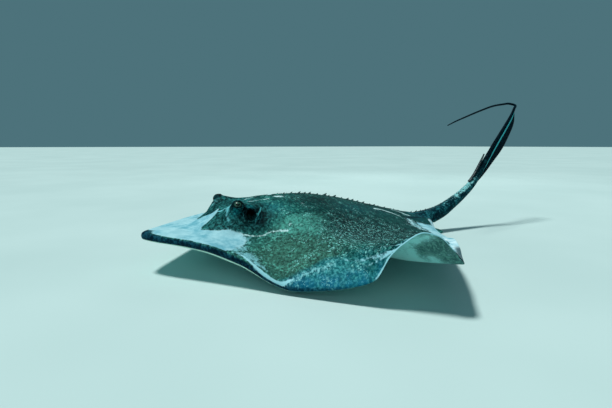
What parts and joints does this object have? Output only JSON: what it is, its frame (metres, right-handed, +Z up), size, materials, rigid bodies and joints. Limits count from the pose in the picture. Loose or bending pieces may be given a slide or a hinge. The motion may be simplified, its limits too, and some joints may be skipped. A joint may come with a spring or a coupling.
{
  "type": "southern stingray model",
  "caption": "Life-size stingray skimming the sea bed, near wing rolled down and its tip flicked up, whip tail raised and curled forward, on a low display stand.",
  "frame": {"origin": "middle of the bounding box in plan, at the underside of the stand", "axes": "+Z up, -Y the way the snout points, +X towards the animal's left"},
  "size_m": [0.9776, 1.2882, 0.4215],
  "materials": {
    "skin": "wet, finely grained, dark olive above and white below",
    "tail_skin": "wet, dark",
    "eye": "glossy, dark iris",
    "spine": "bone-like, satin",
    "stand_paint": "satin charcoal paint",
    "stand_steel": "brushed"
  },
  "bodies": {
    "root": {"head": "skin", "trunk": "skin", "pectoral_fin_left": "skin", "pectoral_fin_right": "skin", "pelvic_fin_left": "skin", "pelvic_fin_right": "skin", "tail_base": "tail_skin", "tail_mid": "tail_skin", "tail_upper": "tail_skin", "tail_whip": "tail_skin", "tail_fold": "tail_skin", "eye_left": "eye", "eye_right": "eye", "tail_spine": "spine", "stand_base": "stand_paint", "stand_rod_front": "stand_steel", "stand_rod_rear": "stand_steel"}
  },
  "joints": []
}
